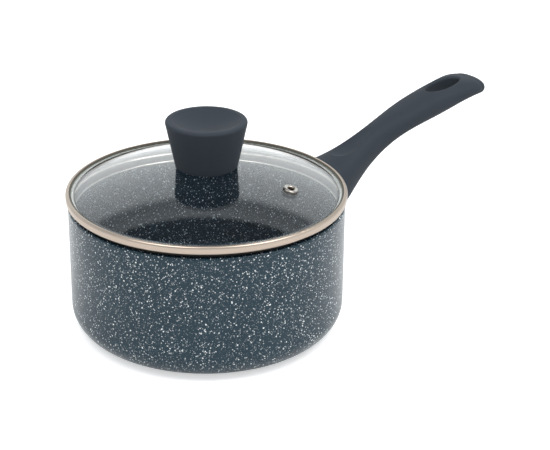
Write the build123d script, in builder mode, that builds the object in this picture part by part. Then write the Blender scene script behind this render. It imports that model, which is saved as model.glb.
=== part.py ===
from build123d import *
import os
from math import asin, atan2, cos, pi, radians, sin, sqrt

# A small saucepan with a glass lid. Millimetres, +Z up, origin on the pan's axis at the
# plane it stands on, handle along +X. The lid lifts off along +Z.

# Pressed pan
pan_mouth_diameter = 180.0
pan_wall = 3.4
pan_floor = 4.0
pan_height = 89.2
pan_base_corner = 18.0
rim_outer_round = 1.5
rim_inner_round = 0.3

# Perforated steel plate pressed into the underside
plate_margin = 8.0
plate_thickness = 0.8
plate_hole_diameter = 6.0
plate_hole_pitch = 15.0
plate_fit = 0.05

# Rolled steel band round the glass. It stands on the pan's rim on a narrow step.
band_sheet = 0.5
band_overhang = 1.3
band_height = 6.2
band_stand = 2.8
band_step_inset = 2.7
band_step_bend = 1.2
band_lip_reach = 2.3
band_lip_gap = 0.55
band_top_round = 1.6
band_bottom_round = 2.0
skirt_clearance = 1.1
skirt_depth = 6.7
skirt_bend = 0.9
skirt_hem_radius = 0.6

# Domed glass, with a flat flange that the band grips
glass_thickness = 3.5
glass_rise = 18.1
glass_flange = 4.5
glass_edge_gap = 0.7
glass_bed = 0.6
glass_edge_round = 1.0
glass_knuckle = 3.0
knob_hole_diameter = 10.0

# Bed of sealant between band and glass. Its bead shows as a dark line inside the lip.
sealant_fit = 0.15
sealant_bead = 0.3
sealant_bead_reach = 1.5

# Steam vent, a rolled eyelet closed on a washer
vent_offset = 60.5
vent_heading = -62.0
vent_hole_diameter = 6.0
vent_bore_diameter = 3.6
vent_flange_diameter = 10.8
vent_flange_height = 1.5
vent_fit = 0.1
vent_washer_diameter = 9.0
vent_washer_thickness = 0.6
vent_flare_diameter = 7.6
vent_flare_thickness = 0.6
seat_gap = 0.05

# Knob, wider at its dished top, with a hollow round its boss
knob_top_diameter = 55.6
knob_foot_diameter = 41.8
knob_height = 32.0
knob_top_round = 1.8
knob_foot_round = 1.2
knob_rim_width = 4.2
knob_rim_round = 0.6
knob_dish_depth = 5.8
knob_wall = 4.0
knob_crown = 6.0
knob_boss_diameter = 17.0
knob_glass_gap = 0.3

# Knob fixing, from the brass thread in the boss down to the screw head
screw_diameter = 5.0
screw_head_diameter = 9.5
screw_head_height = 2.4
screw_head_round = 1.0
screw_recess_width = 1.4
screw_recess_length = 5.2
screw_recess_depth = 1.2
screw_clearance = 0.2
thread_clearance = 0.05
insert_diameter = 9.0
insert_length = 14.0
insert_fit = 0.02
gasket_thickness = 1.2
bush_fit = 0.15
bush_flange_diameter = 20.0
bush_flange_thickness = 1.0
washer_diameter = 16.0
washer_thickness = 0.8
lock_washer_diameter = 9.2
lock_washer_thickness = 1.0
lock_washer_slit = 1.0
knob_screw_grip = 11.0

# Bracket on two studs welded to the wall, and the tongue that carries the handle
weld_gap = 0.03
foot_width = 28.0
foot_depth = 16.0
foot_thickness = 2.5
foot_corner = 2.0
stud_diameter = 4.0
stud_spacing = 18.0
stud_overrun = 1.0
stud_fit = 0.15
nut_across_flats = 7.0
nut_thickness = 3.0
tongue_pitch = 26.5
tongue_width = 8.0
tongue_depth = 10.0
tongue_length = 38.0
socket_clearance = 0.3
handle_screw_out = 26.0
handle_screw_web = 5.0
handle_screw_grip = 8.0
counterbore_clearance = 0.6

# Handle, a row of rounded sections. The root's middle is below the pan's rim and inside
# its wall. Each later section is a step further out and a climb higher than the last.
handle_wall_gap = 0.3
handle_band_gap = 2.4
handle_roundness = 2.3
section_points = 16
root_drop = 24.2
root_inset = 4.9
root_width = 50.0
root_depth = 45.6
flare_step = 19.5
flare_climb = 7.0
flare_width = 42.0
flare_depth = 40.0
shoulder_step = 14.0
shoulder_climb = 7.0
shoulder_width = 33.5
shoulder_depth = 32.5
neck_step = 18.0
neck_climb = 10.0
neck_width = 24.0
neck_depth = 26.0
waist_step = 26.0
waist_climb = 12.5
waist_width = 23.5
waist_depth = 19.5
palm_step = 34.0
palm_climb = 9.5
palm_width = 29.0
palm_depth = 19.5
loop_step = 36.0
loop_climb = 7.0
loop_width = 34.0
loop_depth = 15.5
tip_step = 13.0
tip_climb = 0.3
tip_width = 32.0
tip_depth = 13.0
nose_length = 6.0
nose_side_round = 5.0
nose_edge_round = 3.2
nose_sections = 5

# Hanging slot through the handle's end, and the thumb scoop near its root
slot_length = 32.6
slot_width = 14.0
slot_end_margin = 16.2
slot_lip_round = 1.8
scoop_radius = 32.0
scoop_step = 9.0
scoop_depth = 2.4
scoop_rise = 7.0
scoop_length = 40.0

# Sizes that follow
pan_mouth_radius = pan_mouth_diameter / 2
pan_outer_radius = pan_mouth_radius + pan_wall
pan_inner_corner = pan_base_corner - pan_wall
plate_radius = pan_outer_radius - pan_base_corner - plate_margin

band_outer_radius = pan_outer_radius + band_overhang
band_inner_radius = band_outer_radius - band_sheet
band_bottom = pan_height + band_stand
band_floor_top = band_bottom + band_sheet
band_step_radius = pan_outer_radius - band_step_inset
skirt_radius = pan_mouth_radius - skirt_clearance - band_sheet / 2

glass_edge_radius = band_inner_radius - glass_edge_gap
glass_flange_bottom = band_floor_top + glass_bed
glass_flange_top = glass_flange_bottom + glass_thickness
dome_reach = glass_edge_radius - glass_flange
dome_radius = (dome_reach**2 + glass_rise**2) / (2 * glass_rise)
dome_inner_radius = dome_radius - glass_thickness
dome_top = glass_flange_top + glass_rise
dome_centre = dome_top - dome_radius
knob_top = dome_top + knob_height
inner_dome_reach = sqrt(dome_inner_radius**2 - (glass_flange_bottom - dome_centre) ** 2)

screw_radius = screw_diameter / 2
clearance_radius = screw_radius + screw_clearance
thread_radius = screw_radius + thread_clearance
foot_face = pan_outer_radius + foot_thickness

root_out = pan_outer_radius - root_inset
flare_out = root_out + flare_step
shoulder_out = flare_out + shoulder_step
neck_out = shoulder_out + neck_step
waist_out = neck_out + waist_step
palm_out = waist_out + palm_step
loop_out = palm_out + loop_step
tip_out = loop_out + tip_step
end_out = tip_out + nose_length
scoop_out = shoulder_out + scoop_step
slot_centre = end_out - slot_end_margin - slot_length / 2

root_height = pan_height - root_drop
flare_height = root_height + flare_climb
shoulder_height = flare_height + shoulder_climb
neck_height = shoulder_height + neck_climb
waist_height = neck_height + waist_climb
palm_height = waist_height + palm_climb
loop_height = palm_height + loop_climb
tip_height = loop_height + tip_climb


def corner_near(profile, across, up):
    """The corner of a profile nearest to a point."""
    return profile.vertices().sort_by_distance((across, up))[0]


def arc_on_circle(radius, centre_height, reach):
    """An arc from the axis out to a reach, on a circle centred on the axis."""
    half = asin(reach / radius) / 2
    start = (0, centre_height + radius)
    middle = (radius * sin(half), centre_height + radius * cos(half))
    end = (reach, centre_height + radius * cos(2 * half))
    return start, middle, end


def plate_discs(radius, mode):
    """Rings of round discs, six more in each ring than in the one inside it."""
    rings = int((plate_radius - plate_hole_diameter) // plate_hole_pitch)
    for ring in range(1, rings + 1):
        with PolarLocations(ring * plate_hole_pitch, 6 * ring):
            Circle(radius, mode=mode)


def lock_washer(plane):
    """A split ring that lies on a plane, below it."""
    with BuildPart() as washer:
        with BuildSketch(plane):
            Circle(lock_washer_diameter / 2)
            Circle(clearance_radius, mode=Mode.SUBTRACT)
            with Locations((lock_washer_diameter / 2, 0)):
                Rectangle(lock_washer_diameter, lock_washer_slit, mode=Mode.SUBTRACT)
        extrude(amount=-lock_washer_thickness)
    return washer


def pan_head_screw(seat, length):
    """A cross-recessed screw: head below the seat plane, shank standing up from it."""
    with BuildPart() as screw:
        with BuildSketch(seat):
            Circle(screw_head_diameter / 2)
        extrude(amount=-screw_head_height)
        head_plane = seat.offset(-screw_head_height)
        axis = Axis(seat.origin, seat.z_dir)
        rim = screw.faces().sort_by(axis)[0].edges()
        fillet(rim, screw_head_round)
        with BuildSketch(head_plane):
            Rectangle(screw_recess_length, screw_recess_width)
            Rectangle(screw_recess_width, screw_recess_length)
        extrude(amount=screw_recess_depth, mode=Mode.SUBTRACT)
        with BuildSketch(seat):
            Circle(screw_radius)
        extrude(amount=length)
    return screw


# Pan: one revolved pressing with a rounded rim and a recess for the base plate. Metal that
# is forced up through the plate's holes ends flush with the plate.
with BuildPart() as pan_body:
    with BuildSketch(Plane.XZ) as pan_profile:
        with BuildLine():
            Polyline(
                (0, plate_thickness),
                (plate_radius + plate_fit, plate_thickness),
                (plate_radius + plate_fit, 0),
                (pan_outer_radius, 0),
                (pan_outer_radius, pan_height),
                (pan_mouth_radius, pan_height),
                (pan_mouth_radius, pan_floor),
                (0, pan_floor),
                close=True,
            )
        make_face()
        fillet(corner_near(pan_profile, pan_outer_radius, 0), pan_base_corner)
        fillet(corner_near(pan_profile, pan_mouth_radius, pan_floor), pan_inner_corner)
        fillet(corner_near(pan_profile, pan_outer_radius, pan_height), rim_outer_round)
        fillet(corner_near(pan_profile, pan_mouth_radius, pan_height), rim_inner_round)
    revolve(axis=Axis.Z)
    with BuildSketch(Plane.XY.offset(plate_thickness)):
        plate_discs(plate_hole_diameter / 2 - plate_fit, Mode.ADD)
    extrude(amount=-plate_thickness)

# Base plate: flat disc with rings of holes, flush with the underside.
with BuildPart() as base_plate:
    with BuildSketch():
        Circle(plate_radius)
        plate_discs(plate_hole_diameter / 2, Mode.SUBTRACT)
    extrude(amount=plate_thickness)

# Handle fixing. The two studs stand straight out from the wall and the bracket's foot is
# cut to the wall's curve. The tongue climbs at the same pitch as the handle's root.
tongue_plane = Plane(
    origin=(pan_outer_radius, 0, root_height),
    x_dir=(cos(radians(tongue_pitch)), 0, sin(radians(tongue_pitch))),
    z_dir=(-sin(radians(tongue_pitch)), 0, cos(radians(tongue_pitch))),
)
stud_plane = Plane(origin=(0, 0, root_height), x_dir=(0, 1, 0), z_dir=(1, 0, 0))

with BuildPart() as bracket_studs:
    with BuildSketch(stud_plane):
        with GridLocations(stud_spacing, 0, 2, 1):
            Circle(stud_diameter / 2)
    extrude(amount=foot_face + nut_thickness + stud_overrun)
    with BuildSketch():
        Circle(pan_outer_radius + weld_gap)
    extrude(amount=pan_height, mode=Mode.SUBTRACT)

with BuildPart() as handle_bracket:
    with BuildSketch(stud_plane):
        RectangleRounded(foot_width, foot_depth, foot_corner)
        with GridLocations(stud_spacing, 0, 2, 1):
            Circle(stud_diameter / 2 + stud_fit, mode=Mode.SUBTRACT)
    extrude(amount=foot_face)
    with BuildSketch(tongue_plane):
        with Locations((tongue_length / 2, 0)):
            Rectangle(tongue_length, tongue_width)
    extrude(amount=tongue_depth / 2, both=True)
    with BuildSketch():
        Circle(pan_outer_radius + weld_gap)
    extrude(amount=pan_height, mode=Mode.SUBTRACT)
    with BuildSketch(tongue_plane):
        with Locations((handle_screw_out, 0)):
            Circle(thread_radius)
    extrude(amount=tongue_depth, both=True, mode=Mode.SUBTRACT)

with BuildPart() as bracket_nuts:
    with BuildSketch(stud_plane.offset(foot_face)):
        with GridLocations(stud_spacing, 0, 2, 1):
            RegularPolygon(nut_across_flats / 2, 6, major_radius=False)
            Circle(stud_diameter / 2 + thread_clearance, mode=Mode.SUBTRACT)
    extrude(amount=nut_thickness)

# Handle: lofted through rounded upright sections, cut to the wall at its root, with the
# socket for bracket, nuts and tongue, and a counterbored hole for the screw from below.
handle_sections = [
    (root_out, root_height, root_width, root_depth),
    (flare_out, flare_height, flare_width, flare_depth),
    (shoulder_out, shoulder_height, shoulder_width, shoulder_depth),
    (neck_out, neck_height, neck_width, neck_depth),
    (waist_out, waist_height, waist_width, waist_depth),
    (palm_out, palm_height, palm_width, palm_depth),
    (loop_out, loop_height, loop_width, loop_depth),
    (tip_out, tip_height, tip_width, tip_depth),
]


def rounded_section_point(width, depth, turn):
    """A point on a superellipse, between an ellipse and a rectangle."""
    across = cos(turn)
    up = sin(turn)
    spread = (abs(across) ** handle_roundness + abs(up) ** handle_roundness) ** (1 / handle_roundness)
    return (width / 2 * across / spread, depth / 2 * up / spread)


def handle_section(out, height, width, depth):
    """An upright section of the handle, square to the pan's axis."""
    turns = [2 * pi * step / section_points for step in range(section_points)]
    with BuildSketch(Plane(origin=(out, 0, height), x_dir=(0, 1, 0), z_dir=(1, 0, 0))) as section:
        with BuildLine():
            Spline(*[rounded_section_point(width, depth, turn) for turn in turns], periodic=True)
        make_face()
    return section.sketch


def nose_section(step):
    """A section of the rounded end, which closes in along a quarter of an ellipse."""
    turn = pi / 2 * step / (nose_sections - 1)
    inset = 1 - cos(turn)
    return handle_section(
        tip_out + nose_length * sin(turn),
        tip_height,
        tip_width - 2 * nose_side_round * inset,
        tip_depth - 2 * nose_edge_round * inset,
    )


shoulder_top = shoulder_height + shoulder_depth / 2
neck_top = neck_height + neck_depth / 2
top_slope = (neck_top - shoulder_top) / (neck_out - shoulder_out)
scoop_pitch = atan2(top_slope, 1) + radians(scoop_rise)
scoop_lift = scoop_radius - scoop_depth
scoop_plane = Plane(
    origin=(
        scoop_out - scoop_lift * sin(scoop_pitch),
        0,
        shoulder_top + top_slope * scoop_step + scoop_lift * cos(scoop_pitch),
    ),
    x_dir=(cos(scoop_pitch), 0, sin(scoop_pitch)),
    z_dir=(0, -1, 0),
)

with BuildPart() as handle:
    loft([handle_section(*section) for section in handle_sections])
    loft([nose_section(step) for step in range(nose_sections)])
    before_slot = handle.edges()
    with BuildSketch(Plane.XY):
        with Locations((slot_centre, 0)):
            Ellipse(slot_length / 2, slot_width / 2)
    extrude(amount=loop_height + loop_depth, mode=Mode.SUBTRACT)
    slot_lips = (handle.edges() - before_slot).filter_by(Axis.Z, reverse=True)
    fillet(slot_lips.group_by(Axis.Z)[-1], slot_lip_round)
    with BuildSketch(Plane.XZ):
        with BuildLine():
            Polyline(
                (0, 0),
                (pan_outer_radius + handle_wall_gap, 0),
                (pan_outer_radius + handle_wall_gap, pan_height - handle_band_gap),
                (band_outer_radius + handle_band_gap, pan_height),
                (band_outer_radius + handle_band_gap, knob_top),
                (0, knob_top),
                close=True,
            )
        make_face()
    revolve(axis=Axis.Z, mode=Mode.SUBTRACT)
    with BuildSketch(scoop_plane):
        with BuildLine():
            CenterArc((0, 0), scoop_radius, 90, 90)
            Polyline((-scoop_radius, 0), (scoop_length, 0), (scoop_length, scoop_radius), (0, scoop_radius))
        make_face()
    revolve(axis=Axis(scoop_plane.origin, scoop_plane.x_dir), mode=Mode.SUBTRACT)
    with BuildSketch(stud_plane):
        RectangleRounded(
            foot_width + 2 * socket_clearance,
            foot_depth + 2 * socket_clearance,
            foot_corner + socket_clearance,
        )
    extrude(
        amount=foot_face + nut_thickness + stud_overrun + socket_clearance,
        mode=Mode.SUBTRACT,
    )
    with BuildSketch(tongue_plane):
        with Locations((tongue_length / 2, 0)):
            Rectangle(tongue_length + 2 * socket_clearance, tongue_width + 2 * socket_clearance)
    extrude(amount=tongue_depth / 2 + socket_clearance, both=True, mode=Mode.SUBTRACT)
    handle_seat = tongue_plane.offset(-tongue_depth / 2 - handle_screw_web)
    with BuildSketch(handle_seat):
        with Locations((handle_screw_out, 0)):
            Circle(clearance_radius)
    extrude(amount=handle_screw_web, mode=Mode.SUBTRACT)
    with BuildSketch(handle_seat):
        with Locations((handle_screw_out, 0)):
            Circle(screw_head_diameter / 2 + counterbore_clearance)
    extrude(amount=-root_depth, mode=Mode.SUBTRACT)

# Handle screw and its lock washer, up into the tongue from below.
handle_washer_plane = Plane(
    origin=handle_seat.from_local_coords((handle_screw_out, 0, 0)),
    x_dir=tongue_plane.x_dir,
    z_dir=tongue_plane.z_dir,
)
handle_lock_washer = lock_washer(handle_washer_plane)
handle_screw = pan_head_screw(
    handle_washer_plane.offset(-lock_washer_thickness),
    lock_washer_thickness + handle_screw_web + handle_screw_grip,
)

# Lid band: one strip of sheet, from the lip on the glass round the edge, under the
# flange, down a step onto the rim and on into the skirt, which ends in a rolled hem.
lip_radius = band_outer_radius - band_lip_reach
lip_height = glass_flange_top + band_lip_gap + band_sheet / 2
with BuildPart() as lid_band:
    with BuildSketch(Plane.XZ):
        with BuildLine():
            FilletPolyline(
                (lip_radius, lip_height),
                (band_outer_radius - band_sheet / 2, band_bottom + band_height - band_sheet / 2),
                (band_outer_radius - band_sheet / 2, band_bottom + band_sheet / 2),
                (band_step_radius, band_bottom + band_sheet / 2),
                (band_step_radius, pan_height + band_sheet / 2),
                (skirt_radius, pan_height + band_sheet / 2),
                (skirt_radius, pan_height - skirt_depth + skirt_hem_radius),
                radius=[
                    band_top_round - band_sheet / 2,
                    band_bottom_round - band_sheet / 2,
                    band_step_bend - band_sheet / 2,
                    skirt_bend - band_sheet / 2,
                    skirt_bend - band_sheet / 2,
                ],
            )
        trace(line_width=band_sheet)
        with Locations((skirt_radius, pan_height - skirt_depth + skirt_hem_radius)):
            Circle(skirt_hem_radius)
    revolve(axis=Axis.Z)

# Glass: a dome of even thickness that turns into a flat flange, with a hole for the knob
# screw and one for the vent.
vent_tilt = asin(vent_offset / dome_radius)
vent_height = dome_centre + dome_radius * cos(vent_tilt)
vent_out = Vector(cos(radians(vent_heading)), sin(radians(vent_heading)), 0)
vent_along = Vector(-sin(radians(vent_heading)), cos(radians(vent_heading)), 0)
vent_normal = vent_out * sin(vent_tilt) + Vector(0, 0, cos(vent_tilt))
vent_point = vent_out * vent_offset + Vector(0, 0, vent_height)
vent_plane = Plane(origin=vent_point, x_dir=vent_along, z_dir=vent_normal)

with BuildPart() as lid_glass:
    with BuildSketch(Plane.XZ) as glass_profile:
        with BuildLine():
            outer_start, outer_middle, outer_end = arc_on_circle(dome_radius, dome_centre, dome_reach)
            inner_start, inner_middle, inner_end = arc_on_circle(
                dome_inner_radius, dome_centre, inner_dome_reach
            )
            ThreePointArc(outer_start, outer_middle, outer_end)
            Polyline(
                outer_end,
                (glass_edge_radius, glass_flange_top),
                (glass_edge_radius, glass_flange_bottom),
                inner_end,
            )
            ThreePointArc(inner_end, inner_middle, inner_start)
            Line(inner_start, outer_start)
        make_face()
        fillet(corner_near(glass_profile, dome_reach, glass_flange_top), glass_knuckle)
        fillet(corner_near(glass_profile, glass_edge_radius, glass_flange_top), glass_edge_round)
        fillet(corner_near(glass_profile, glass_edge_radius, glass_flange_bottom), glass_edge_round)
    revolve(axis=Axis.Z)
    with BuildSketch(Plane.XY.offset(glass_flange_bottom)):
        Circle(knob_hole_diameter / 2)
    extrude(amount=glass_rise + 2 * glass_thickness, mode=Mode.SUBTRACT)
    with BuildSketch(vent_plane):
        Circle(vent_hole_diameter / 2)
    extrude(amount=2 * glass_thickness, both=True, mode=Mode.SUBTRACT)

# Sealant: a channel-section ring under the flange, round the edge of the glass and over the
# flange to a thin bead inside the lip.
sealant_inner = skirt_radius + skirt_bend
sealant_outer = band_inner_radius - sealant_fit
sealant_bottom = band_floor_top + sealant_fit
bead_inner = lip_radius - sealant_bead_reach
bead_bottom = glass_flange_top + sealant_fit
bead_top = bead_bottom + sealant_bead
with BuildPart() as band_sealant:
    with BuildSketch(Plane.XZ) as sealant_profile:
        with BuildLine():
            Polyline(
                (sealant_inner, sealant_bottom),
                (sealant_outer, sealant_bottom),
                (sealant_outer, bead_top),
                (bead_inner, bead_top),
                (bead_inner, bead_bottom),
                (glass_edge_radius + sealant_fit, bead_bottom),
                (glass_edge_radius + sealant_fit, glass_flange_bottom - sealant_fit),
                (sealant_inner, glass_flange_bottom - sealant_fit),
                close=True,
            )
        make_face()
        inside_round = glass_edge_round + sealant_fit
        fillet(corner_near(sealant_profile, glass_edge_radius, bead_bottom), inside_round)
        fillet(corner_near(sealant_profile, glass_edge_radius, glass_flange_bottom), inside_round)
        fillet(corner_near(sealant_profile, sealant_outer, bead_top), band_top_round - band_sheet)
        fillet(corner_near(sealant_profile, sealant_outer, sealant_bottom), band_bottom_round - band_sheet)
    revolve(axis=Axis.Z)

# Vent: the eyelet's rolled flange lies on the glass and its tail is flared on a washer.
vent_profile_plane = Plane(
    origin=vent_point, x_dir=vent_along, z_dir=vent_along.cross(vent_normal)
)
vent_axis = Axis(vent_point, vent_normal)
vent_barrel = vent_hole_diameter / 2 - vent_fit
vent_bore = vent_bore_diameter / 2
vent_flange = vent_flange_diameter / 2
vent_washer_top = -glass_thickness - seat_gap
vent_tail_top = vent_washer_top - vent_washer_thickness - seat_gap
vent_tail_end = vent_tail_top - vent_flare_thickness

with BuildPart() as vent_eyelet:
    with BuildSketch(vent_profile_plane):
        with BuildLine():
            ThreePointArc(
                (vent_flange, seat_gap),
                ((vent_flange + vent_bore) / 2, vent_flange_height),
                (vent_bore, seat_gap),
            )
            Polyline(
                (vent_bore, seat_gap),
                (vent_bore, vent_tail_end),
                (vent_flare_diameter / 2, vent_tail_end),
                (vent_flare_diameter / 2, vent_tail_top),
                (vent_barrel, vent_tail_top),
                (vent_barrel, seat_gap),
                (vent_flange, seat_gap),
            )
        make_face()
    revolve(axis=vent_axis)

with BuildPart() as vent_washer:
    with BuildSketch(vent_plane.offset(vent_washer_top)):
        Circle(vent_washer_diameter / 2)
        Circle(vent_barrel + vent_fit, mode=Mode.SUBTRACT)
    extrude(amount=-vent_washer_thickness)

# Knob: revolved moulding with a dished top. It is hollow round a boss that holds the
# brass thread, and its foot follows the dome.
knob_rim_radius = knob_top_diameter / 2 - knob_rim_width
knob_dish_radius = (knob_rim_radius**2 + knob_dish_depth**2) / (2 * knob_dish_depth)
knob_seat = dome_top + gasket_thickness
knob_lean = (knob_top_diameter - knob_foot_diameter) / 2 / knob_height
knob_foot_radius = knob_foot_diameter / 2
knob_hollow_foot = knob_foot_radius - knob_wall
knob_hollow_top = knob_top - knob_dish_depth - knob_crown
knob_hollow_reach = knob_hollow_foot + knob_lean * (knob_hollow_top - dome_top)


def knob_dish(reach):
    """A point on the shallow dish in the knob's top."""
    return (reach, knob_top - knob_dish_depth + knob_dish_radius - sqrt(knob_dish_radius**2 - reach**2))


def knob_underside(reach):
    """A point on the knob's foot, a small gap above the dome."""
    return (reach, dome_centre + sqrt((dome_radius + knob_glass_gap) ** 2 - reach**2))


with BuildPart() as knob:
    with BuildSketch(Plane.XZ) as knob_profile:
        with BuildLine():
            Polyline(
                knob_dish(0),
                (0, knob_seat),
                (knob_boss_diameter / 2, knob_seat),
                (knob_boss_diameter / 2, knob_hollow_top),
                (knob_hollow_reach, knob_hollow_top),
                knob_underside(knob_hollow_foot),
                knob_underside(knob_foot_radius),
                (knob_top_diameter / 2, knob_top),
                knob_dish(knob_rim_radius),
            )
            ThreePointArc(
                knob_dish(knob_rim_radius), knob_dish(knob_rim_radius / 2), knob_dish(0)
            )
        make_face()
        fillet(corner_near(knob_profile, knob_top_diameter / 2, knob_top), knob_top_round)
        fillet(corner_near(knob_profile, knob_rim_radius, knob_top), knob_rim_round)
        fillet(corner_near(knob_profile, *knob_underside(knob_foot_radius)), knob_foot_round)
    revolve(axis=Axis.Z)
    with BuildSketch(Plane.XY.offset(knob_seat)):
        Circle(insert_diameter / 2 + insert_fit)
    extrude(amount=insert_length + insert_fit, mode=Mode.SUBTRACT)

# Knob fixing, in the order it is stacked: brass thread, gasket, bush in the glass,
# washer, lock washer, screw.
with BuildPart() as knob_insert:
    with BuildSketch(Plane.XY.offset(knob_seat)):
        Circle(insert_diameter / 2)
        Circle(thread_radius, mode=Mode.SUBTRACT)
    extrude(amount=insert_length)

with BuildPart() as knob_gasket:
    with BuildSketch(Plane.XY.offset(dome_top)):
        Circle(knob_boss_diameter / 2)
        Circle(clearance_radius, mode=Mode.SUBTRACT)
    extrude(amount=gasket_thickness)

bush_reach = bush_flange_diameter / 2
bush_top = dome_centre + sqrt(dome_inner_radius**2 - bush_reach**2) - seat_gap
bush_bottom = bush_top - bush_flange_thickness
with BuildPart() as glass_bush:
    with BuildSketch(Plane.XY.offset(bush_bottom)):
        Circle(bush_reach)
    extrude(amount=bush_flange_thickness)
    with BuildSketch(Plane.XY.offset(bush_top)):
        Circle(knob_hole_diameter / 2 - bush_fit)
    extrude(amount=dome_top - bush_top)
    with BuildSketch(Plane.XY.offset(bush_bottom)):
        Circle(clearance_radius)
    extrude(amount=dome_top - bush_bottom, mode=Mode.SUBTRACT)

with BuildPart() as knob_washer:
    with BuildSketch(Plane.XY.offset(bush_bottom)):
        Circle(washer_diameter / 2)
        Circle(clearance_radius, mode=Mode.SUBTRACT)
    extrude(amount=-washer_thickness)

knob_lock_washer = lock_washer(Plane.XY.offset(bush_bottom - washer_thickness))
knob_screw_seat = bush_bottom - washer_thickness - lock_washer_thickness
knob_screw = pan_head_screw(
    Plane.XY.offset(knob_screw_seat), knob_seat + knob_screw_grip - knob_screw_seat
)

pieces = {
    "pan_body": pan_body,
    "base_plate": base_plate,
    "bracket_studs": bracket_studs,
    "handle_bracket": handle_bracket,
    "bracket_nuts": bracket_nuts,
    "handle": handle,
    "handle_lock_washer": handle_lock_washer,
    "handle_screw": handle_screw,
    "lid_band": lid_band,
    "lid_glass": lid_glass,
    "band_sealant": band_sealant,
    "vent_eyelet": vent_eyelet,
    "vent_washer": vent_washer,
    "knob": knob,
    "knob_insert": knob_insert,
    "knob_gasket": knob_gasket,
    "glass_bush": glass_bush,
    "knob_washer": knob_washer,
    "knob_lock_washer": knob_lock_washer,
    "knob_screw": knob_screw,
}
os.makedirs("parts", exist_ok=True)
for name, piece in pieces.items():
    piece.part.label = name
    export_step(piece.part, f"parts/{name}.step")
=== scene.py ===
from math import radians

import bmesh
import bpy
from mathutils import Matrix, Vector

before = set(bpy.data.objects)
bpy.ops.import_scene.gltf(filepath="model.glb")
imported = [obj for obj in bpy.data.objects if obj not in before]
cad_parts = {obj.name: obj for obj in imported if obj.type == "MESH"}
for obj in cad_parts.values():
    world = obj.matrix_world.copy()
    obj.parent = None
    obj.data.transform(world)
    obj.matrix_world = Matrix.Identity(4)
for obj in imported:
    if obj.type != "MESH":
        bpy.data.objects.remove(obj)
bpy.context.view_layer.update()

# Pan body: one aluminium pressing, rounded at the rim. Inside and out it is sprayed with a
# satin slate non-stick coating, and pale flecks of several sizes are spattered into the wet
# coat and lie just proud of it. Inside, the coat is greyer, and the flecks are painted dimmer
# and a cooler grey: painted shade for the pan's inside under the lid.


class Tone:
    """A value in a material or in the world, so that values add and multiply as plain numbers do."""

    def __init__(self, tree, socket):
        self.tree = tree
        self.socket = socket

    def node(self, kind, settings, sockets, output=0):
        """Adds a node, with its settings first and then the values or links of its sockets."""
        made = self.tree.nodes.new("ShaderNode" + kind)
        for name, setting in settings.items():
            if name == "stops":
                ramp = made.color_ramp
                while len(ramp.elements) < len(setting):
                    ramp.elements.new(1.0)
                for element, (position, colour) in zip(ramp.elements, setting):
                    element.position = position
                    element.color = (*colour, 1.0)
            else:
                setattr(made, name, setting)
        for name, value in sockets.items():
            if isinstance(value, Tone):
                self.tree.links.new(value.socket, made.inputs[name])
            else:
                made.inputs[name].default_value = value
        return Tone(self.tree, made.outputs[output])

    def also(self, output):
        """Another output of the node that this value comes from."""
        return Tone(self.tree, self.socket.node.outputs[output])

    def maths(self, operation, first, second):
        """A Math node on two values."""
        return self.node("Math", {"operation": operation}, {0: first, 1: second})

    def __add__(self, other):
        return self.maths("ADD", self, other)

    def __radd__(self, other):
        return self.maths("ADD", other, self)

    def __sub__(self, other):
        return self.maths("SUBTRACT", self, other)

    def __rsub__(self, other):
        return self.maths("SUBTRACT", other, self)

    def __mul__(self, other):
        return self.maths("MULTIPLY", self, other)

    def __rmul__(self, other):
        return self.maths("MULTIPLY", other, self)

    def __truediv__(self, other):
        return self.maths("DIVIDE", self, other)

    def larger(self, other):
        """The larger of the value and another."""
        return self.maths("MAXIMUM", self, other)

    def unsigned(self):
        """The value without its sign."""
        return self.maths("ABSOLUTE", self, 0.0)

    def held(self):
        """The value kept between nought and one."""
        return self.node("Clamp", {}, {"Value": self})

    def past(self, edge, blur):
        """Nought up to an edge, and one from a short way past it."""
        return ((self - edge) / blur).held()

    def short_of(self, edge, blur):
        """Nought from an edge on, and one up to a short way before it."""
        return ((edge - self) / blur).held()

    def blend(self, first, second):
        """The first colour where the value is nought, the second where it is one."""
        return self.node("Mix", {"data_type": "RGBA"}, {0: self, 6: first, 7: second}, 2)

    def vector(self, operation, other):
        """A Vector Math node on this vector and another."""
        return self.node("VectorMath", {"operation": operation}, {0: self, 1: other})

    def scaled(self, scale):
        """The vector made longer or shorter."""
        return self.node("VectorMath", {"operation": "SCALE"}, {"Vector": self, "Scale": scale})

    def length(self):
        """How long the vector is."""
        return self.node("VectorMath", {"operation": "LENGTH"}, {0: self}, "Value")


def new_finish(name):
    """A material, its shader, and the piece's own coordinates in millimetres."""
    material = bpy.data.materials.new(name)
    material.use_nodes = True
    tree = material.node_tree
    shader = tree.nodes["Principled BSDF"]
    metres = Tone(tree, tree.nodes.new("ShaderNodeTexCoord").outputs["Object"])
    return material, shader, metres.scaled(1000.0)


def set_shader(shader, sockets):
    """Gives the shader its constants, and links what changes over the surface."""
    for name, value in sockets.items():
        if isinstance(value, Tone):
            value.tree.links.new(value.socket, shader.inputs[name])
        else:
            shader.inputs[name].default_value = value


def dress(material, *nodes):
    """Gives the finish to these pieces of the frame."""
    for name in nodes:
        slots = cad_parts[name].data.materials
        slots.clear()
        slots.append(material)


def grain(place, size, detail=2.0):
    """Soft noise with features of about this size in millimetres."""
    return place.node("TexNoise", {}, {"Vector": place, "Scale": 1.0 / size, "Detail": detail})


def raised(height, amount):
    """A surface normal that stands this many millimetres proud where the height is one."""
    return height.node("Bump", {}, {"Strength": 1.0, "Distance": amount / 1000.0, "Height": height})


def radius_and_height(place):
    """How far a point lies from the pan's axis, and how high it lies."""
    parts = place.node("SeparateXYZ", {}, {"Vector": place})
    flat = place.node("CombineXYZ", {}, {"X": parts, "Y": parts.also("Y")})
    return flat.length(), parts.also("Z")


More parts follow.
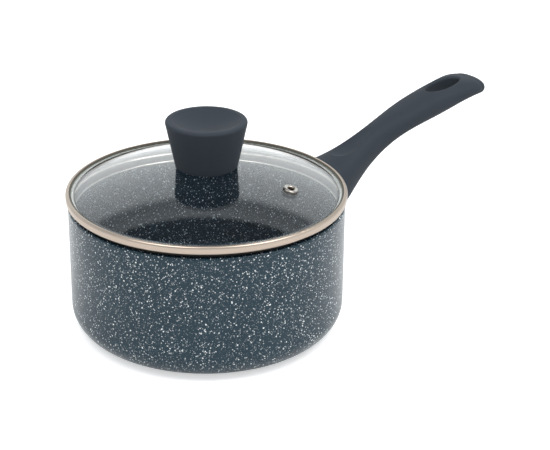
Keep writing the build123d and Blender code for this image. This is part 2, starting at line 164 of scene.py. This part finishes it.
def spatter(place, cell, share, reach, ragged):
    """Flecks in a share of the cells of a mosaic, up to a reach in size, with ragged edges.
    Gives the flecks and a shade for each."""
    slant = (0.6, 0.35, 1.1)
    wander_size = 1.1
    edge_blur = 0.16
    place = place.node("Mapping", {}, {"Vector": place, "Rotation": slant})
    wander = grain(place, wander_size).also("Color")
    wander = wander.vector("SUBTRACT", (0.5, 0.5, 0.5)).scaled(ragged)
    moved = place.vector("ADD", wander)
    mosaic = place.node("TexVoronoi", {}, {"Vector": moved, "Scale": 1.0 / cell})
    lot = place.node("SeparateColor", {}, {"Color": mosaic.also("Color")})
    size = ((lot - (1.0 - share)) / share).held()
    fleck = ((size * (reach / cell) - mosaic) * (cell / edge_blur)).held()
    return fleck, lot.also("Green")


coating, shader, place = new_finish("speckled_coating")
dust, dust_shade = spatter(place, cell=0.75, share=0.75, reach=0.42, ragged=0.3)
fine, fine_shade = spatter(place, cell=1.15, share=0.64, reach=0.54, ragged=0.4)
middling, middling_shade = spatter(place, cell=2.1, share=0.58, reach=0.66, ragged=0.7)
large, large_shade = spatter(place, cell=6.0, share=0.32, reach=0.85, ragged=1.4)
flecks = dust * (0.06 + 0.22 * dust_shade)
flecks = flecks.larger(fine * (0.3 + 0.7 * fine_shade))
flecks = flecks.larger(middling * (0.7 + 0.3 * middling_shade))
flecks = flecks.larger(large * (0.8 + 0.2 * large_shade))

# The base corner turns about this ring, and the inside lies nearer to it than the mid-wall.
corner_radius = 75.4
corner_height = 18.3
mid_wall = 16.3
radius, height = radius_and_height(place)
outwards = (radius - corner_radius).larger(0.0)
downwards = (corner_height - height).larger(0.0)
from_corner = place.node("CombineXYZ", {}, {"X": outwards, "Y": downwards}).length()
inside = from_corner.short_of(mid_wall, blur=0.5)

cloud = grain(place, 22.0)
peel = grain(place, 2.4)
# Painted shade: inside the pan the flecks are made dimmer, and below they are given a cooler grey.
flecks = flecks * (1.0 - 0.15 * inside)
slate = cloud.blend((0.003, 0.021, 0.035, 1), (0.006, 0.030, 0.047, 1))
coat = inside.blend(slate, (0.013, 0.024, 0.036, 1))
fleck_white_shaded_inside = inside.blend((0.90, 0.94, 0.95, 1), (0.60, 0.69, 0.78, 1))
set_shader(shader, {
    "Base Color": flecks.blend(coat, fleck_white_shaded_inside),
    "Roughness": 0.19 + 0.07 * peel + 0.14 * flecks,
    "Normal": raised(peel * 0.4 + flecks * 0.6, 0.03),
    "IOR": 1.39,
})
dress(coating, "pan_body")

# Base plate: a stainless steel disc with rings of holes, pressed into the pan's underside so
# that the aluminium rises through the holes. Turned on a lathe, so fine rings show on it.


def rings_about_axis(place, width):
    """Fine lines that run round the pan's axis, as a turned or rolled finish leaves them."""
    radius, height = radius_and_height(place)
    across = place.node("CombineXYZ", {}, {"X": radius, "Y": height})
    return grain(across, width, 3.0)


plate_steel, shader, place = new_finish("turned_steel")
lines = rings_about_axis(place, 0.35)
stain = grain(place, 30.0)
set_shader(shader, {
    "Base Color": stain.blend((0.52, 0.51, 0.49, 1), (0.62, 0.60, 0.57, 1)),
    "Metallic": 1.0,
    "Roughness": 0.24 + 0.22 * lines,
    "Normal": raised(lines, 0.02),
})
dress(plate_steel, "base_plate")

# Studs, nuts, washers and screws: plain steel under dull grey zinc. The studs are welded to
# the wall, the nuts hold the bracket on them, and the screws draw up handle and knob.
fastener_steel, shader, place = new_finish("dull_zinc_steel")
film = grain(place, 1.6)
set_shader(shader, {
    "Base Color": film.blend((0.24, 0.24, 0.25, 1), (0.36, 0.36, 0.36, 1)),
    "Metallic": 1.0,
    "Roughness": 0.34 + 0.18 * film,
    "Normal": raised(grain(place, 0.3), 0.01),
})
dress(fastener_steel, "bracket_studs", "bracket_nuts", "handle_screw", "handle_lock_washer",
      "knob_screw", "knob_lock_washer", "knob_washer", "vent_washer")

# Handle bracket: an aluminium casting, left with the grain of its mould. Its foot is bolted
# to the studs and its tongue goes up into the handle.
cast_metal, shader, place = new_finish("cast_aluminium")
sand = grain(place, 0.5, 4.0)
set_shader(shader, {
    "Base Color": sand.blend((0.42, 0.42, 0.43, 1), (0.60, 0.60, 0.61, 1)),
    "Metallic": 1.0,
    "Roughness": 0.42 + 0.25 * sand,
    "Normal": raised(sand, 0.06),
})
dress(cast_metal, "handle_bracket")

# Handle and knob: moulded in hard plastic and sprayed with a slate soft-touch lacquer, which
# has a fine even tooth and hardly shines. The handle goes on the bracket's tongue, and the
# knob is screwed down on the glass.
soft_touch, shader, place = new_finish("soft_touch_slate")
tooth = grain(place, 0.32, 3.0)
drift = grain(place, 26.0)
set_shader(shader, {
    "Base Color": drift.blend((0.026, 0.032, 0.041, 1), (0.032, 0.039, 0.049, 1)),
    "Roughness": 0.56 + 0.12 * tooth,
    "Normal": raised(tooth, 0.012),
    "Specular IOR Level": 0.14,
})
dress(soft_touch, "handle", "knob")

# Lid band: one strip of stainless steel, rolled round the edge of the glass and down into a
# skirt with a hem. The strip has a warm satin face with faint lines along it, and the skirt is
# rubbed bright by the pan's mouth. Under the strip, where it steps in over the pan's rim, the
# steel is painted near black: painted shade in the gap.
band_steel, shader, place = new_finish("rolled_band_steel")
strip_bottom = 92.2
step_radius = 90.0
strip_radius = 91.4
gap_shade_blur = 1.0 / 3.0
radius, height = radius_and_height(place)
# Painted shade: the steel in the gap under the strip is coloured near black and made rougher.
painted_gap_shade = height.short_of(strip_bottom, gap_shade_blur) * radius.past(step_radius, gap_shade_blur)
strip = radius.past(strip_radius, gap_shade_blur)
lines = rings_about_axis(place, 0.22)
warmth = grain(place, 24.0)
satin = warmth.blend((0.425, 0.355, 0.295, 1), (0.475, 0.395, 0.330, 1))
rubbed = warmth.blend((0.68, 0.64, 0.59, 1), (0.75, 0.71, 0.66, 1))
set_shader(shader, {
    "Base Color": painted_gap_shade.blend(strip.blend(rubbed, satin), (0.035, 0.033, 0.030, 1)),
    "Metallic": 1.0,
    "Roughness": 0.28 + 0.06 * lines + 0.3 * painted_gap_shade,
    "Normal": raised(lines, 0.003),
})
dress(band_steel, "lid_band")

# Lid glass: clear tempered glass, pressed to a shallow dome with a flat flange. Light goes
# straight through it to the pan's inside, and its surface has the faint wave of pressing.
clear_glass, shader, place = new_finish("clear_glass")
set_shader(shader, {
    "Base Color": (0.975, 0.99, 0.985, 1),
    "Transmission Weight": 1.0,
    "Roughness": 0.0,
    "IOR": 1.5,
    "Normal": raised(grain(place, 40.0), 0.02),
})
lamp_light = place.node("LightPath", {}, {}, "Is Shadow Ray")
clear = place.node("BsdfTransparent", {}, {"Color": (0.90, 0.93, 0.92, 1)})
glass_body = Tone(place.tree, shader.outputs["BSDF"])
glass_or_clear = place.node("MixShader", {}, {0: lamp_light, 1: glass_body, 2: clear})
glass_output = place.tree.nodes["Material Output"]
place.tree.links.new(glass_or_clear.socket, glass_output.inputs["Surface"])
dress(clear_glass, "lid_glass")

# Silicone: the sealant that the band is rolled on, the gasket under the knob and the bush in
# the glass. It is charcoal, soft and slightly dusty. The bed of the sealant that lies under the
# glass is painted pale: a painted highlight for the bright edge seen through the glass.
silicone, shader, place = new_finish("charcoal_silicone")
flange_bottom = 93.3
height = place.node("SeparateXYZ", {}, {"Vector": place}, "Z")
# Painted highlight: the sealant under the glass flange is coloured pale grey.
painted_highlight_under_glass = height.short_of(flange_bottom, blur=0.25)
bloom = grain(place, 0.9, 3.0)
charcoal = bloom.blend((0.060, 0.057, 0.044, 1), (0.090, 0.086, 0.068, 1))
set_shader(shader, {
    "Base Color": painted_highlight_under_glass.blend(charcoal, (0.50, 0.50, 0.48, 1)),
    "Roughness": 0.45 + 0.2 * bloom,
    "Normal": raised(bloom, 0.01),
    "IOR": 1.41,
})
dress(silicone, "band_sealant", "knob_gasket", "glass_bush")

# Vent eyelet: a rolled steel tube, turned over on the glass and flared on its washer. Its
# bore is painted dark brown and made rougher than the bright flange: painted shade in the hole.
# The flange's outer edge is painted dark and made rougher again: painted shade.
eyelet_steel, shader, place = new_finish("rolled_eyelet_steel")
vent_centre = (28.40, -53.42, 106.52)
vent_axis = (0.1246, -0.2344, 0.9641)
bore_lip = 2.5
flange_edge = 4.3
off_axis = place.vector("SUBTRACT", vent_centre).vector("CROSS_PRODUCT", vent_axis).length()
scuff = grain(place, 0.8, 3.0)
# Painted shade: the bore is coloured dark brown, and the flange's outer edge dark grey.
clear_of_bore_shade = ((off_axis - bore_lip) * 2.0 + scuff).held()
painted_edge_shade = off_axis.past(flange_edge, blur=0.625)
flange_steel_with_edge_shade = scuff.blend((0.36, 0.33, 0.29, 1), (0.66, 0.63, 0.58, 1))
flange_steel_with_edge_shade = painted_edge_shade.blend(flange_steel_with_edge_shade, (0.12, 0.11, 0.10, 1))
set_shader(shader, {
    "Base Color": clear_of_bore_shade.blend((0.075, 0.055, 0.042, 1), flange_steel_with_edge_shade),
    "Metallic": 1.0,
    "Roughness": 0.40 - 0.28 * clear_of_bore_shade + 0.12 * scuff + 0.15 * painted_edge_shade,
    "Normal": raised(scuff, 0.05),
})
dress(eyelet_steel, "vent_eyelet")

# Knob insert: a turned brass bush with a thread, laid in the mould so that the plastic of the
# knob's boss grips it. The knob's screw goes up into it.
brass, shader, place = new_finish("turned_brass")
tarnish = grain(place, 1.2)
set_shader(shader, {
    "Base Color": tarnish.blend((0.55, 0.40, 0.16, 1), (0.76, 0.58, 0.27, 1)),
    "Metallic": 1.0,
    "Roughness": 0.25 + 0.2 * tarnish,
})
dress(brass, "knob_insert")

# Studio: a pale floor in a square tent of cool white walls, a little brighter at the far side.
# A strip of lit cloth runs round above the walls. The tent is dark above it, where two round
# softboxes hang, brightest in their middle. To the eye the surroundings are plain white.
floor_size = 12.0
floor_drop = 0.0002
floor_mesh = bpy.data.meshes.new("floor")
sheet = bmesh.new()
bmesh.ops.create_grid(sheet, x_segments=1, y_segments=1, size=floor_size,
                      matrix=Matrix.Translation((0, 0, -floor_drop)))
sheet.to_mesh(floor_mesh)
sheet.free()
floor = bpy.data.objects.new("floor", floor_mesh)
bpy.context.scene.collection.objects.link(floor)

paper, shader, place = new_finish("pale_paper")
glow_to_eye = 0.52
glow_in_gloss = 0.30
eye = place.node("LightPath", {}, {}, "Is Camera Ray")
seen = eye.larger(eye.also("Is Transmission Ray"))
shine = (seen * glow_to_eye).larger(eye.also("Is Glossy Ray") * glow_in_gloss)
lit = place.node("BsdfDiffuse", {}, {"Color": (0.80, 0.80, 0.80, 1)})
glow = place.node("Emission", {}, {"Color": shine, "Strength": 1.0})
paper_top = place.node("AddShader", {}, {0: lit, 1: glow})
from_below = place.node("NewGeometry", {}, {}, "Backfacing")
open_below = place.node("BsdfTransparent", {}, {})
paper_face = place.node("MixShader", {}, {0: from_below, 1: paper_top, 2: open_below})
place.tree.links.new(paper_face.socket, place.tree.nodes["Material Output"].inputs["Surface"])
place.tree.nodes.remove(shader)
floor_mesh.materials.append(paper)

world = bpy.data.worlds.new("white_tent")
bpy.context.scene.world = world
world.use_nodes = True
sky = Tone(world.node_tree, world.node_tree.nodes.new("ShaderNodeTexCoord").outputs["Generated"])
tent_turn = radians(40.0)
in_tent = sky.node("VectorRotate", {"rotation_type": "Z_AXIS"}, {"Vector": sky, "Angle": tent_turn})
side = sky.node("SeparateXYZ", {}, {"Vector": in_tent})
depth = side.also("Y")
rise = side.also("Z")
to_wall = side.unsigned().larger(depth.unsigned())
climb = rise / to_wall
wall_mean = 1.02
more_at_far_side = 0.20
more_at_right = 0.05
wall_level = wall_mean + more_at_far_side * (depth / to_wall) + more_at_right * (side / to_wall)
highest_climb = 2.0
tent_levels = ((0.93, 1.0), (1.07, 0.36), (1.24, 0.42), (1.50, 0.56), (1.57, 0.06))
tent_stops = [(reached / highest_climb, (grey, grey, grey)) for reached, grey in tent_levels]
tent = climb.node("ValToRGB", {"stops": tent_stops}, {"Fac": climb / highest_climb})

path = sky.node("LightPath", {}, {}, "Is Camera Ray")
first_look = 1.0 - path.also("Diffuse Depth").held()
level_or_down = rise.short_of(0.25, blur=0.1)
straight = path.larger(path.also("Is Transmission Ray") * first_look * level_or_down)
tent_light = straight + (1.0 - straight) * (wall_level * tent)
tent_colour = straight.blend((0.955, 1.0, 1.025, 1), (1, 1, 1, 1))
background = world.node_tree.nodes["Background"]
world.node_tree.links.new(tent_colour.socket, background.inputs["Color"])
world.node_tree.links.new(tent_light.socket, background.inputs["Strength"])

softbox_width = 1.3
cloth_middle = (0.5, 0.5, 0.0)
mean_fading = 0.5
softbox_aim = Vector((0.02, 0.0, 0.07))
for name, hung_at, watts in (("left_softbox", (-0.62, 0.02, 1.50), 13.0),
                             ("right_softbox", (0.36, -0.66, 1.45), 15.5)):
    softbox_data = bpy.data.lights.new(name, "AREA")
    softbox_data.shape = "DISK"
    softbox_data.size = softbox_width
    softbox_data.energy = watts
    softbox_data.use_nodes = True
    cloth_tree = softbox_data.node_tree
    cloth = Tone(cloth_tree, cloth_tree.nodes.new("ShaderNodeNewGeometry").outputs["Parametric"])
    from_middle = cloth.vector("SUBTRACT", cloth_middle).length() * 2.0
    fading = (1.0 - from_middle * from_middle).held() / mean_fading
    cloth_tree.links.new(fading.socket, cloth_tree.nodes["Emission"].inputs["Strength"])
    softbox = bpy.data.objects.new(name, softbox_data)
    facing = (softbox_aim - Vector(hung_at)).to_track_quat("-Z", "Y").to_matrix().to_4x4()
    softbox.matrix_world = Matrix.Translation(hung_at) @ facing
    bpy.context.scene.collection.objects.link(softbox)

# Camera: at the height and angle of a shop picture, a little above the lid and to the left of
# the handle, with a long lens.
camera_data = bpy.data.cameras.new("camera")
camera_data.sensor_width = 36.0
camera_data.lens = 102.515
camera_data.shift_x = -0.0012
camera = bpy.data.objects.new("camera", camera_data)
camera_place = Vector((-0.5880, -0.7731, 0.5100))
camera_aim = Vector((0.0357, -0.0299, 0.0708))
camera_roll = Matrix.Rotation(radians(0.66), 4, "Z")
camera_turn = (camera_aim - camera_place).to_track_quat("-Z", "Y").to_matrix().to_4x4()
camera.matrix_world = Matrix.Translation(camera_place) @ camera_turn @ camera_roll
bpy.context.scene.collection.objects.link(camera)
bpy.context.scene.camera = camera
bpy.context.scene.view_settings.view_transform = "Standard"
